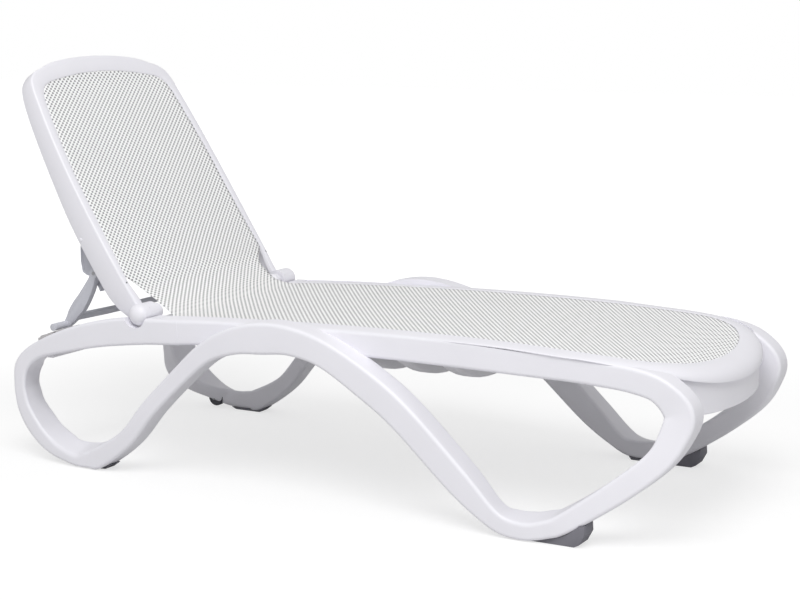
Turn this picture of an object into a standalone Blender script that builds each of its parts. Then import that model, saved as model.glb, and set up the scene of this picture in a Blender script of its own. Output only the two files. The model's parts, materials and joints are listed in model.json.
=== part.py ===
"""Sun lounger with a woven sling, an adjustable back and two transport wheels.

Metres, +Z up. +X points to the foot end, the floor is z = 0, and the object is
symmetric about the plane y = 0. The right side is at -Y.
"""
import math

import bmesh
import bpy
from mathutils import Matrix, Vector

MM = 0.001

# Clearances
TOUCH = 0.3 * MM
BORE_CLEARANCE = 0.3 * MM
HINGE_CLEARANCE = 4.0 * MM
RACK_CLEARANCE = 0.9 * MM

# Reach of the side frames from the hinge axis, height of the sling's edge at its
# highest, and half the width of the sling, which every other width follows
FOOT_REACH = 1245 * MM
HEAD_REACH = 350 * MM
SEAT_HEIGHT = 359 * MM
SLING_HALF = 252 * MM

# Side frame
EDGE_RADIUS = 7 * MM
SLING_LAP = 8 * MM
LOOP_GAP = 30 * MM
RAIL_INNER = SLING_HALF - SLING_LAP
LOOP_INNER = SLING_HALF + LOOP_GAP
RAIL_SEAM = 0.6 * MM

# Seat
SLING_THICK = 1.6 * MM
SLING_SAG = 5 * MM
SEAT_START = 56 * MM
SLING_TIP = 1205 * MM
SLING_CORNER = 943 * MM
RIM_TIP = 1255 * MM
RIM_CORNER = 893 * MM
RIM_WIDTH = 42 * MM
RIM_HALF = SLING_HALF + RIM_WIDTH
RIM_THICK = 6 * MM
RIM_PROUD = 1.5 * MM
RIM_ROLL = 36.5 * MM
RIM_LIP = 2 * MM
APRON_INSET = 8 * MM
APRON_THICK = 5 * MM
APRON_DEPTH = 126 * MM
APRON_RISE = 14 * MM
APRON_TURN = 56
ROLL_FADE = 1.3

# Hinge axis below the height of the seat, and the parts round it
HINGE_DROP = 14.1 * MM
HUB_RADIUS = 23 * MM
RAIL_WIDTH = 63 * MM
CAP_REACH = RAIL_INNER + RAIL_WIDTH
LUG_RADIUS = 16 * MM
LUG_THICK = 18.3 * MM
LUG_INNER = RAIL_INNER - LUG_THICK
LUG_DOME = 7 * MM
LUG_END = 74 * MM
LUG_DROP = 9.9 * MM
LUG_HEIGHT = 28 * MM
PIN_RADIUS = 7 * MM
PIN_COVER = 3.3 * MM
CAP_COVER = 17 * MM
PIN_START = LUG_INNER + PIN_COVER
PIN_END = CAP_REACH - CAP_COVER

# Back, measured along it from the hinge axis and square to it
BACK_ANGLE = math.radians(58.4)
BACK_LENGTH = 636 * MM
BACK_LAP = 35 * MM
BACK_FOOT_INSET = 4 * MM
BACK_FOOT_WIDTH = 20.5 * MM
BACK_HALF = RAIL_INNER + BACK_LAP
BACK_FOOT_OUTER = BACK_HALF - BACK_FOOT_INSET
BACK_FOOT_INNER = BACK_FOOT_OUTER - BACK_FOOT_WIDTH
HUB_INSET = 3.5 * MM
HUB_INNER = RAIL_INNER + HUB_INSET
FACE_SETBACK = 3.6 * MM
BACK_BOW = 6.5 * MM
FACE_THICK = 9 * MM
SKIRT_DEPTH = 57 * MM
SKIRT_WALL = 5 * MM
SKIRT_EDGE = 1.5 * MM
BACK_EDGE = 4 * MM
SLING_RECESS = 2 * MM
BACK_SLING_START = 88 * MM
BACK_SLING_SAG = 8 * MM
CROSSBAR_ALONG = 186 * MM
CROSSBAR_WIDTH = 74 * MM
CROSSBAR_DEPTH = 34 * MM
CROSSBAR_THICK = 16 * MM
CROSSBAR_SAG = 10 * MM

# Prop
PROP_PIVOT_ALONG = 139.6 * MM
PROP_PIVOT_BEHIND = 84 * MM
PROP_LENGTH = 145 * MM
PROP_ANGLE = math.radians(235.6)
PROP_EYE = 11 * MM
BRACKET_INSET = 15 * MM
BRACKET_INNER = RAIL_INNER - BRACKET_INSET
BRACKET_THICK = 16 * MM
ARM_THICK = 15.5 * MM
PROP_PIN_RADIUS = 4 * MM
PEG_RADIUS = 8 * MM
PEG_PROUD = 1.5 * MM
PROP_BAR_HEIGHT = 20 * MM
PROP_BAR_THICK = 8 * MM
PROP_BAR_UP = 17 * MM
PROP_BAR_SAG = 6 * MM
PROP_FOLD_RATIO = -2

# Travel of the back from its photographed place, forward and down to flat
BACK_UP_LIMIT = math.radians(-11.6)
BACK_DOWN_LIMIT = BACK_ANGLE

# Rack under the prop
RACK_INSET = 2.5 * MM
RACK_INNER = LOOP_INNER + RACK_INSET
RACK_WIDTH = 19 * MM
RACK_NOTCH = 4 * MM
RACK_STEP = math.radians(8)
RACK_COUNT = 3
RACK_END = -272 * MM
RACK_LEAD = 12 * MM
RACK_LEAD_RISE = 3.6 * MM
RACK_SEAT_START = 298 * MM
RACK_SEAT_END = 252 * MM

# Height and edge of the cross-members
MEMBER_HEIGHT = 22 * MM
MEMBER_EDGE = 3 * MM

# Feet and wheels
FRONT_PAD_WIDTH = 44 * MM
REAR_PAD_WIDTH = 33 * MM
FRONT_PAD_INSET = 14 * MM
REAR_PAD_INSET = 3 * MM
FRONT_PAD_INNER = LOOP_INNER + FRONT_PAD_INSET
REAR_PAD_INNER = LOOP_INNER + REAR_PAD_INSET
WHEEL_AT = -214 * MM
WHEEL_RADIUS = 21 * MM
WHEEL_HEIGHT = 24 * MM
WHEEL_WIDTH = 18 * MM
WHEEL_INSET = 8 * MM
WHEEL_MIDDLE = LOOP_INNER + WHEEL_INSET
WHEEL_GAP = 1.5 * MM
WHEEL_POCKET_GAP = 2 * MM
WHEEL_EDGE = 2.2 * MM
AXLE_RADIUS = 4 * MM
AXLE_LENGTH = 34 * MM

# Fixings
SCREW_RADIUS = 4 * MM
SCREW_HEAD = 1.6 * MM
PEG_HEAD_RADIUS = 2 * MM
SKIRT_SCREW_ALONG = 212 * MM
SKIRT_SCREW_DEPTH = 48 * MM
FACE_PEG_ALONG = 78 * MM
FACE_PEG_INSET = 9 * MM
LUG_SCREWS = {"rear": 34 * MM, "front": 58 * MM}

# The free cloth at the hinge, in mm from the hinge axis: along, up, inside the sling's edge
HINGE_CLOTH = [(-37, 46, 23), (-11, 25.5, 32), (17, 7, 34)]
HINGE_CLOTH_INSET = 11 * MM

# Side outline in mm from the hinge axis and the floor: along, up, thickness,
# outer face, inner face. It runs from the rail round the foot loop, down the
# front leg, over the arch, down the rear leg and round the head loop. Where the
# inner side stands off the outer one: its shift along and up, and extra thickness.
LOOP = [
    (943, 329.5, 57, 292, 244),
    (1043, 322, 50, 290, 244),
    (1123, 315.5, 51, 289, 240),
    (1178, 300, 52, 289, 234),
    (1214, 262, 62, 287, 230),
    (1208, 222, 58, 293, 236),
    (1179, 170, 50, 305, 252),
    (1108, 108, 47, 325, 272),
    (1016, 43, 40, 345, 289, 0, 3, 6),
    (978, 26, 36, 350.5, 292, 0, 6.5, 10),
    (940, 18, 35, 355, 295, 0, 7.5, 10),
    (898, 22, 38, 355, 295, 0, 3.5, 5),
    (861, 41.5, 43, 355, 295, 0, -2.5, -5),
    (795, 96, 57, 353, 292),
    (673, 206.5, 60, 352, 290),
    (588, 263, 61, 348, 287),
    (493, 313.5, 57, 346, 285),
    (413, 333, 61, 345, 285),
    (343, 332, 67, 345, 285),
    (273, 320, 57, 345, 285),
    (203, 289, 45, 344, 284),
    (133, 230.5, 40, 342, 283),
    (53, 154, 39, 341, 281),
    (-12, 80, 40, 340, 282),
    (-90, 27.5, 46, 339, 282, 0, 4, 8),
    (-118, 19, 37, 338.5, 282, 0, 9, 11),
    (-150, 13.5, 25.5, 338, 282, 0, 14, 21.5),
    (-184, 20, 26, 336, 282, 2.5, 10, 20.5),
    (-222, 33, 33, 333, 270, 14, 4.5, 4.5),
    (-257.5, 57, 38, 330, 255, -4, -2.5, 0),
    (-284.5, 84, 39, 327, 246, -20.5, -4, 11),
    (-303, 111, 37, 325, 245, -22.5, -5.5, 9),
    (-312, 133, 35, 323.5, 245, -20, 0, 1),
    (-317.5, 167, 33, 322, 245, -17.5, 0, -3),
    (-311, 209.5, 38, 320, 252, -7, -0.5, 2),
    (-270, 246, 39, 317, 282, 4, -3.5, -3),
    (-189, 274, 53, 314, 282),
    (-107, 295, 59, 311, 282),
    (-30, 307.5, 62, 309, 282),
    (11, 311.5, 60.5, 307.8, 282),
    (32, 312.5, 57.5, 307, 244),
    (110, 317, 56, 305, 244),
]

# The rail between the two ends of the outline above, in the same terms
RAIL = [
    (92, 316, 56, 305.5, 244),
    (243, 325, 53, 300, 244),
    (543, 332, 53, 298, 244),
    (743, 332, 56, 296, 244),
    (975, 327, 55.5, 291.5, 244),
]

# Height of the sling's edge along the seat, in mm
SEAT_LINE = [
    (40, 338), (61, 340.7), (180, 347.5), (311, 352.7), (508, 358),
    (690, 359), (859, 357), (979, 352.3), (1063, 348), (1113, 343),
    (1163, 334), (1198, 322.5), (1205, 319.5),
]

# Back frame from the hub to the middle of the top, in mm: outer edge along and
# sideways, inner edge along and sideways, depth of the skirt
BACK_OUTLINE = [
    (-6, 275, -6, 254.5, 34),
    (12, 275, 12, 254.5, 37),
    (40, 275, 40, 254.5, 50),
    (80, 277.5, 80, 261.9, 57),
    (140, 279, 140, 260, 57),
    (250, 279, 250, 256.9, 56),
    (350, 276.4, 350, 254.4, 50),
    (450, 269.3, 440, 246.2, 45),
    (520, 261, 510, 236.9, 42),
    (560, 254.4, 545, 227.7, 38),
    (585, 244.6, 562, 215.9, 33),
    (602, 222.6, 571.5, 199, 26),
    (611, 194.9, 577.5, 176.4, 20),
    (621, 164.1, 583, 143.6, 16),
    (628.5, 123.1, 588, 107.7, 13),
    (634, 61.5, 593, 56.4, 13),
    (636, 0, 595, 0, 13),
]

# Cross-members in mm: name, along, height of the ends, sag, width
MEMBERS = [
    ("head", -264, 236, 0, 32),
    ("hinge", 95, 308, 56, 34),
    ("rear", 505, 318, 73, 32),
    ("middle", 605, 318, 72, 32),
    ("front", 705, 318, 70, 32),
]

# Outline of the prop's arm in mm: along it from the pivot, forward side, rear side
PROP_OUTLINE = [
    (0, 8, 8), (17, 13, 5), (40, 18, 6), (64, 20.5, 7.5), (88, 21, 10.5),
    (104, 18, 11), (115, 16.5, 10.5), (127, 14, 8), (140, 10, 7), (145, 8, 8),
]

# Rear edge of the prop's bracket in mm from the pivot: along the back, and behind
BRACKET_EDGE = [
    (82, -4), (71, 11), (44, 28), (21, 37), (12, 32), (1, 22),
    (-3, 19), (-20, 17), (-38, 18), (-41, 7), (-12, 5),
]

# Side outlines of the pads in mm; the leg is cut out of their upper part
FRONT_PAD = [
    (897, 0), (1036, 0), (1046, 5), (1057, 26), (1056, 42), (1040, 44), (1010, 30), (960, 18),
    (892, 18), (892, 6),
]
REAR_PAD = [(-154, 0), (-84, 0), (-67, 12), (-75, 14), (-160, 14), (-166, 5)]

SIDES = {"right": -1, "left": 1}

# What the drawn tables span, which the sizes above stretch them to
DRAWN_FOOT = max(row[0] + row[2] / 2 for row in LOOP) * MM
DRAWN_HEAD = max((row[2] + row[7]) / 2 - row[0] - row[5] for row in LOOP if len(row) > 5) * MM
DRAWN_HEIGHT = max(height for _, height in SEAT_LINE) * MM
DRAWN_BACK = BACK_OUTLINE[-1][0] * MM
DRAWN_BACK_HALF = max(outer for _, outer, _, _, _ in BACK_OUTLINE) * MM
DRAWN_SKIRT = max(depth for _, _, _, _, depth in BACK_OUTLINE) * MM
DRAWN_INNER = RAIL[0][4] * MM
SKIRT_TOP = SKIRT_DEPTH * BACK_OUTLINE[-1][4] * MM / DRAWN_SKIRT

# The drawn heights between which the legs take up a change of SEAT_HEIGHT
LEG_BOTTOM = max(height for _, height in FRONT_PAD) * MM
LEG_TOP = DRAWN_HEIGHT - APRON_DEPTH

# The hinge axis stands where the whole lounger is centred on x = 0
BACK_REACH = BACK_LENGTH * math.cos(BACK_ANGLE) + (FACE_SETBACK + SKIRT_TOP) * math.sin(BACK_ANGLE)
HINGE = Vector(((BACK_REACH - RIM_TIP) / 2, 0.0, SEAT_HEIGHT - HINGE_DROP))
ALONG_BACK = Vector((-math.cos(BACK_ANGLE), 0.0, math.sin(BACK_ANGLE)))
FACE_NORMAL = Vector((math.sin(BACK_ANGLE), 0.0, math.cos(BACK_ANGLE)))

RESIN = ((0.80, 0.80, 0.83), 0.42, 0.0)
PROP_RESIN = ((0.50, 0.51, 0.55), 0.45, 0.0)
SLING = ((0.72, 0.72, 0.73), 0.8, 0.0)
RUBBER = ((0.10, 0.10, 0.12), 0.7, 0.0)
STEEL = ((0.55, 0.55, 0.56), 0.35, 1.0)


def clear_scene():
    for thing in list(bpy.data.objects):
        bpy.data.objects.remove(thing, do_unlink=True)


def new_collection(name):
    collection = bpy.data.collections.new(name)
    bpy.context.scene.collection.children.link(collection)
    return collection


clear_scene()
PARTS = new_collection("sun_lounger")
CUTTERS = new_collection("cutters")


def part(name, mesh, finish, smooth=40):
    """A named piece of the lounger with its own material."""
    piece = bpy.data.objects.new(name, mesh)
    PARTS.objects.link(piece)
    colour, roughness, metallic = finish
    material = bpy.data.materials.new(name)
    material.use_nodes = True
    shader = material.node_tree.nodes["Principled BSDF"]
    shader.inputs["Base Color"].default_value = (*colour, 1.0)
    shader.inputs["Roughness"].default_value = roughness
    shader.inputs["Metallic"].default_value = metallic
    mesh.materials.append(material)
    mesh.shade_smooth()
    mesh.set_sharp_from_angle(angle=math.radians(smooth))
    return piece


def helper(name, mesh):
    """A shape that only cuts or joins, kept out of the build."""
    shape = bpy.data.objects.new(name, mesh)
    CUTTERS.objects.link(shape)
    shape.hide_render = True
    shape.display_type = "WIRE"
    return shape


def combine(piece, shape, operation):
    boolean = piece.modifiers.new(operation.lower() + "_" + shape.name, "BOOLEAN")
    boolean.operation = operation
    boolean.solver = "EXACT"
    boolean.object = shape


def cut(piece, shape):
    combine(piece, shape, "DIFFERENCE")


def join(piece, shape):
    combine(piece, shape, "UNION")


def to_mesh(name, bm):
    bmesh.ops.recalc_face_normals(bm, faces=bm.faces)
    mesh = bpy.data.meshes.new(name)
    bm.to_mesh(mesh)
    bm.free()
    return mesh


def loft(name, sections):
    """A closed body through rings of points that all have the same count."""
    bm = bmesh.new()
    rings = [[bm.verts.new(point) for point in ring] for ring in sections]
    count = len(rings[0])
    for first, second in zip(rings, rings[1:]):
        for i in range(count):
            j = (i + 1) % count
            bm.faces.new((first[i], first[j], second[j], second[i]))
    bm.faces.new(rings[0])
    bm.faces.new(rings[-1])
    return to_mesh(name, bm)


def box(name, low, high):
    bm = bmesh.new()
    size = Vector(high) - Vector(low)
    middle = (Vector(high) + Vector(low)) / 2
    bmesh.ops.create_cube(bm, size=1, matrix=Matrix.Translation(middle) @ Matrix.Diagonal((*size, 1)))
    return to_mesh(name, bm)


def rod(name, radius, start, end, segments=24):
    """A round bar between two points."""
    bm = bmesh.new()
    run = Vector(end) - Vector(start)
    turn = run.to_track_quat("Z", "Y").to_matrix().to_4x4()
    place = Matrix.Translation((Vector(start) + Vector(end)) / 2) @ turn
    bmesh.ops.create_cone(bm, cap_ends=True, segments=segments, radius1=radius, radius2=radius,
                          depth=run.length, matrix=place)
    return to_mesh(name, bm)


def profile_line(name, profile):
    """An open line of (radius, height) points, outer side from top to bottom."""
    mesh = bpy.data.meshes.new(name)
    edges = [(i, i + 1) for i in range(len(profile) - 1)]
    mesh.from_pydata([(radius, 0.0, height) for radius, height in profile], edges, [])
    return mesh


def turned(piece, centre, direction, steps):
    """Turns a piece's profile about an axis through the centre."""
    piece.location = centre
    piece.rotation_mode = "QUATERNION"
    piece.rotation_quaternion = Vector(direction).to_track_quat("Z", "Y")
    screw_turn = piece.modifiers.new("turned", "SCREW")
    screw_turn.axis = "Z"
    screw_turn.steps = steps
    screw_turn.render_steps = steps
    screw_turn.use_merge_vertices = True
    screw_turn.merge_threshold = 0.00001
    return piece


def extruded(name, outline, low, high):
    """A flat outline of (x, z) points carried sideways from y = low to y = high."""
    return loft(name, [[Vector((x, y, z)) for x, z in outline] for y in (low, high)])


def curve_value(before, start, end, after, t):
    return 0.5 * (2 * start + (end - before) * t + (2 * before - 5 * start + 4 * end - after) * t * t
                  + (3 * start - before - 3 * end + after) * t ** 3)


def smooth_line(points, steps, level_from=2):
    """A Catmull-Rom curve through points of any size, steps samples for each stretch.

    Values from index level_from on never swing past their two neighbours.
    """
    ends = [points[0]] + list(points) + [points[-1]]
    line = []
    for before, start, end, after in zip(ends, ends[1:], ends[2:], ends[3:]):
        for step in range(steps):
            values = [curve_value(*four, step / steps) for four in zip(before, start, end, after)]
            for i in range(level_from, len(values)):
                values[i] = min(max(values[i], min(start[i], end[i])), max(start[i], end[i]))
            line.append(tuple(values))
    line.append(tuple(points[-1]))
    return line


def along(distance):
    """A drawn distance from the hinge axis as a place along X."""
    reach = FOOT_REACH / DRAWN_FOOT if distance > 0 else HEAD_REACH / DRAWN_HEAD
    return HINGE.x + distance * reach


def up(height):
    """A drawn height as a place along Z: the legs stretch, and all above them moves with the seat."""
    share = min(max((height - LEG_BOTTOM) / (LEG_TOP - LEG_BOTTOM), 0), 1)
    return height + (SEAT_HEIGHT - DRAWN_HEIGHT) * share


def aside(width):
    """A drawn distance from the plane y = 0, moved with the rail's inner face."""
    return width + RAIL_INNER - DRAWN_INNER


def read_line(line, x):
    """The value of a sampled line of (x, value) at x."""
    for (x0, v0), (x1, v1) in zip(line, line[1:]):
        if x <= x1:
            return v0 + (v1 - v0) * (x - x0) / (x1 - x0)
    return line[-1][1]


def corner_ring(half_a, half_b, radius, segments=2):
    """Points round a rectangle with round corners, as pairs."""
    ring = []
    for quarter, (sign_a, sign_b) in enumerate(((1, 1), (-1, 1), (-1, -1), (1, -1))):
        for step in range(segments + 1):
            angle = math.pi / 2 * (quarter + step / segments)
            ring.append((sign_a * (half_a - radius) + radius * math.cos(angle),
                         sign_b * (half_b - radius) + radius * math.sin(angle)))
    return ring


def ribbon(name, stations, side, steps, grow=0.0):
    """The swept moulding of the side frame: a round-edged strip that follows the stations."""
    line = smooth_line([(station + (0, 0, 0))[:8] for station in stations], steps)
    middles = [Vector((along(s[0] * MM), 0.0, up(s[1] * MM))) for s in line]
    sections = []
    for i, (_, _, thick, outer, inner, lean_along, lean_up, more) in enumerate(line):
        run = (middles[min(i + 1, len(line) - 1)] - middles[max(i - 1, 0)]).normalized()
        normal = Vector((run.z, 0.0, -run.x))
        half = thick * MM / 2 + grow
        low, high = aside(inner * MM) - grow, aside(outer * MM) + grow
        lean = Vector((lean_along * MM, 0, lean_up * MM))
        section = []
        for a, b in corner_ring(half, (high - low) / 2, EDGE_RADIUS):
            share = 0.5 - b / (high - low)
            swell = 1 + share * more * MM / 2 / half
            section.append(middles[i] + lean * share + normal * a * swell
                           + Vector((0, side * ((low + high) / 2 + b), 0)))
        sections.append(section)
    return loft(name, sections)


SEAT_CURVE = [(along(a * MM), up(b * MM)) for a, b in smooth_line(SEAT_LINE, 4)]


def seat_top(x):
    return read_line(SEAT_CURVE, x)


def seat_outline(turn, half, corner, tip):
    """Half outline of the seat's foot end: a superellipse of second and fifth power."""
    reach = max(math.cos(turn), 0.0) ** (2 / 5)
    return along(corner) + (along(tip) - along(corner)) * reach, half * math.sin(turn)


END_TURNS = [0, 8, 16, 24, 32, 40, 48, 56, 64, 71, 77, 82, 86, 89]


def rim_stations(side):
    """Pairs of inner and outer points from the head end of one side to the tip."""
    stations = []
    straight = 9
    for i in range(straight):
        x = along(SEAT_START + (RIM_CORNER - SEAT_START) * i / straight)
        stations.append((Vector((x, side * SLING_HALF, 0)), Vector((x, side * RIM_HALF, 0)), 0.0))
    for degrees in reversed(END_TURNS):
        turn = math.radians(degrees)
        xi, yi = seat_outline(turn, SLING_HALF, SLING_CORNER, SLING_TIP)
        xo, yo = seat_outline(turn, RIM_HALF, RIM_CORNER, RIM_TIP)
        inner, outer = Vector((xi, side * yi, 0)), Vector((xo, side * yo, 0))
        stations.append((inner, outer, math.cos(turn) ** ROLL_FADE))
    return stations


def rim_path():
    right = rim_stations(-1)
    left = rim_stations(1)
    return right + left[-2::-1]


def rim_section(inner, outer, roll_share, grow=0.0):
    """The rim's profile: flat on the rails, rolled over into a nose at the foot end."""
    out = (outer - inner).normalized()
    width = (outer - inner).length
    roll = RIM_THICK - RIM_LIP + (RIM_ROLL - RIM_THICK + RIM_LIP) * roll_share
    lip = RIM_LIP + (RIM_THICK - RIM_LIP) * roll_share
    deep = max(roll, RIM_THICK)
    top = seat_top(inner.x) + RIM_PROUD
    steps = 6
    points = []
    for step in range(steps + 1):
        turn = math.pi / 2 * step / steps
        points.append((width * math.sin(turn) + grow, -roll * (1 - math.cos(turn))))
    for step in range(steps + 1):
        turn = math.pi / 2 * (1 - step / steps)
        points.append(((width - lip) * math.sin(turn),
                       -RIM_THICK - grow - (deep - RIM_THICK) * (1 - math.cos(turn))))
    if grow:
        reach_in = (SLING_HALF - RIM_HALF) / 2
        lift = 4 * RIM_THICK
        for i in range(steps):
            points[i] = (reach_in + (width + grow - reach_in) * i / (steps - 1), lift)
        points[steps] = (width + grow, -deep - grow)
        points[steps + 1] = (width - lip, -deep - grow)
        points[-1] = (reach_in, -RIM_THICK - grow)
    return [Vector((inner.x, inner.y, top)) + out * a + Vector((0, 0, b)) for a, b in points]


def seat_rim():
    return part("seat_rim", loft("seat_rim", [rim_section(*s) for s in rim_path()]), RESIN)


def rim_cutter():
    return helper("rim_space", loft("rim_space", [rim_section(*s, grow=2 * TOUCH) for s in rim_path()]))


def foot_apron(frames):
    """The panel below the nose of the rim, between the two foot loops."""
    sections = []
    turns = [t for t in END_TURNS if t <= APRON_TURN]
    signed = [-t for t in reversed(turns)] + turns[1:]
    for degrees in signed:
        turn = math.radians(abs(degrees))
        side = -1 if degrees < 0 else 1
        inner, outer = [Vector((x, side * y, 0)) for x, y in (
            seat_outline(turn, SLING_HALF, SLING_CORNER, SLING_TIP),
            seat_outline(turn, RIM_HALF, RIM_CORNER, RIM_TIP))]
        share = math.cos(turn) ** ROLL_FADE
        roll = RIM_THICK - RIM_LIP + (RIM_ROLL - RIM_THICK + RIM_LIP) * share
        out = (outer - inner).normalized()
        width = (outer - inner).length
        place = (width - APRON_INSET) / (width - RIM_THICK)
        under = RIM_THICK + (roll - RIM_THICK) * (1 - math.sqrt(1 - place ** 2))
        top = seat_top(inner.x) + RIM_PROUD - under - 3.5 * TOUCH
        bottom = SEAT_HEIGHT - APRON_DEPTH + APRON_RISE * (1 - share)
        face = inner + out * (width - APRON_INSET)
        back = face - out * APRON_THICK
        sections.append([Vector((p.x, p.y, z)) for p, z in (
            (face, bottom), (face, top), (back, top), (back, bottom))])
    piece = part("foot_apron", loft("foot_apron", sections), RESIN)
    for frame in frames:
        cut(piece, frame)
    return piece


def hinge_axis_rod(name, radius, side, low, high, segments=32):
    return rod(name, radius, (HINGE.x, side * low, HINGE.z), (HINGE.x, side * high, HINGE.z), segments)


def on_back(distance, behind, y=0.0):
    """A point on the back: distance along it, depth behind the hinge plane."""
    return HINGE + ALONG_BACK * distance - FACE_NORMAL * behind + Vector((0, y, 0))


PROP_PIVOT = on_back(PROP_PIVOT_ALONG, PROP_PIVOT_BEHIND)
PROP_RUN = Vector((math.cos(PROP_ANGLE), 0, math.sin(PROP_ANGLE)))
PROP_FOOT = PROP_PIVOT + PROP_RUN * PROP_LENGTH
WHEEL_CENTRE = Vector((along(WHEEL_AT), 0, WHEEL_HEIGHT))


def prop_foot_at(recline):
    """Where the prop's foot is when the back has turned by this angle."""
    turn = Matrix.Rotation(-recline, 3, "Y")
    pivot = HINGE + turn @ (PROP_PIVOT - HINGE)
    swing = Matrix.Rotation(-recline * (1 + PROP_FOLD_RATIO), 3, "Y")
    return pivot + swing @ (PROP_FOOT - PROP_PIVOT)


def rack_line():
    """The track that the prop's foot needs, a little below its lowest side."""
    track = []
    count = 24
    for i in range(count + 1):
        recline = BACK_UP_LIMIT + (BACK_DOWN_LIMIT - BACK_UP_LIMIT) * i / count
        foot = prop_foot_at(recline)
        before = prop_foot_at(recline - 0.01)
        run = (foot - before).normalized()
        down = Vector((-run.z, 0, run.x))
        if down.z > 0:
            down = -down
        track.append(foot + down * (PEG_RADIUS + RACK_CLEARANCE))
    return track


def rack_outline(grow=0.0, open_above=0.0):
    """The rack's side outline: the foot's track on top, a straight seat in the rail below."""
    top = [(p.x, p.z + open_above) for p in rack_line() if p.x > HINGE.x + RACK_END]
    (first_x, first_z), (last_x, _) = top[0], top[-1]
    start = (first_x + RACK_LEAD + grow, first_z + RACK_LEAD_RISE)
    foot_start = (start[0], up(RACK_SEAT_START) - grow)
    foot_end = (last_x - grow, up(RACK_SEAT_END) - grow)
    return [start] + top + [foot_end, foot_start]


def prop_rack(name, side):
    """The notched strip let into the rail, under the foot of the prop."""
    low, high = side * RACK_INNER, side * (RACK_INNER + RACK_WIDTH)
    piece = part(name, extruded(name, rack_outline(), low, high), PROP_RESIN)
    for i in range(RACK_COUNT):
        foot = prop_foot_at(RACK_STEP * i)
        depth = foot.z - RACK_NOTCH
        ends = [(foot.x, low - side * PEG_RADIUS, depth), (foot.x, high + side * PEG_RADIUS, depth)]
        cut(piece, helper(f"{name}_notch_{i}", rod("notch", PEG_RADIUS, *ends, 20)))
    return piece


def side_frame(name, side, rim_space):
    """One moulding: the swept loop, the seat rail, and the cuts for all that sits in it."""
    piece = part(name, ribbon(name, LOOP, side, 3), RESIN)
    join(piece, helper(f"{name}_rail", ribbon("rail", RAIL, side, 3, -RAIL_SEAM)))
    cut(piece, hinge_saddle(name, side))
    cut(piece, rim_space)
    rack = extruded("rack_pocket", rack_outline(TOUCH, 2 * PEG_RADIUS), side * (RACK_INNER - TOUCH),
                    side * (RACK_INNER + RACK_WIDTH + TOUCH))
    cut(piece, helper(f"{name}_rack_pocket", rack))
    cut(piece, helper(f"{name}_wheel_pocket", wheel_pocket(side)))
    bore = AXLE_RADIUS + BORE_CLEARANCE
    cut(piece, helper(f"{name}_axle_bore", axle_rod("axle_bore", bore, side, TOUCH)))
    return piece


def hinge_saddle(name, side):
    """The round seat across the rail that the hub of the back turns in."""
    radius = HUB_RADIUS + HINGE_CLEARANCE
    saddle = hinge_axis_rod("saddle", radius, side, RAIL_INNER - radius, CAP_REACH + radius, 40)
    return helper(f"{name}_saddle", saddle)


def wheel_pocket(side):
    """The slot in the rear leg that the wheel turns in, open at the floor."""
    radius = WHEEL_RADIUS + WHEEL_POCKET_GAP
    half = WHEEL_WIDTH / 2 + WHEEL_GAP
    return rod("wheel_pocket", radius, WHEEL_CENTRE + Vector((0, side * (WHEEL_MIDDLE - half), 0)),
               WHEEL_CENTRE + Vector((0, side * (WHEEL_MIDDLE + half), 0)), 36)


def axle_rod(name, radius, side, extra=0.0):
    half = AXLE_LENGTH / 2 + extra
    return rod(name, radius, WHEEL_CENTRE + Vector((0, side * (WHEEL_MIDDLE - half), 0)),
               WHEEL_CENTRE + Vector((0, side * (WHEEL_MIDDLE + half), 0)), 20)


def wheel(name, side):
    """A plain moulded wheel with a rounded tread, bored for its axle."""
    half = WHEEL_WIDTH / 2
    edge = WHEEL_EDGE
    bore = AXLE_RADIUS + BORE_CLEARANCE
    profile = [
        (bore, half), (WHEEL_RADIUS - edge, half), (WHEEL_RADIUS, half - edge),
        (WHEEL_RADIUS, edge - half), (WHEEL_RADIUS - edge, -half), (bore, -half), (bore, half)]
    centre = WHEEL_CENTRE + Vector((0, side * WHEEL_MIDDLE, 0))
    return turned(part(name, profile_line(name, profile), RUBBER), centre, (0, side, 0), 20)


def cross_member(name, at, end_height, sag, width, frames):
    """A rounded bar between the rails that hangs down in the middle, clear of the sling."""
    reach = (RAIL_INNER if at > 0 else LOOP_INNER) - TOUCH
    sections = []
    count = 16
    for i in range(count + 1):
        share = 2 * i / count - 1
        height = up(end_height * MM) - sag * MM * (1 - abs(share) ** 2.5)
        ring = corner_ring(width * MM / 2, MEMBER_HEIGHT / 2, MEMBER_EDGE, 1)
        sections.append([Vector((along(at * MM) + a, share * reach, height + b)) for a, b in ring])
    piece = part(name, loft(name, sections), RESIN)
    if at < 0:
        for frame in frames:
            cut(piece, frame)
    return piece


def foot_pad(name, side, outline, low, width, frame_space):
    """A wedge pressed onto the underside of the leg, flat on the floor."""
    places = [(along(a * MM), up(b * MM)) for a, b in outline]
    piece = part(name, extruded(name, places, side * low, side * (low + width)), RUBBER)
    cut(piece, frame_space)
    return piece


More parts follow.
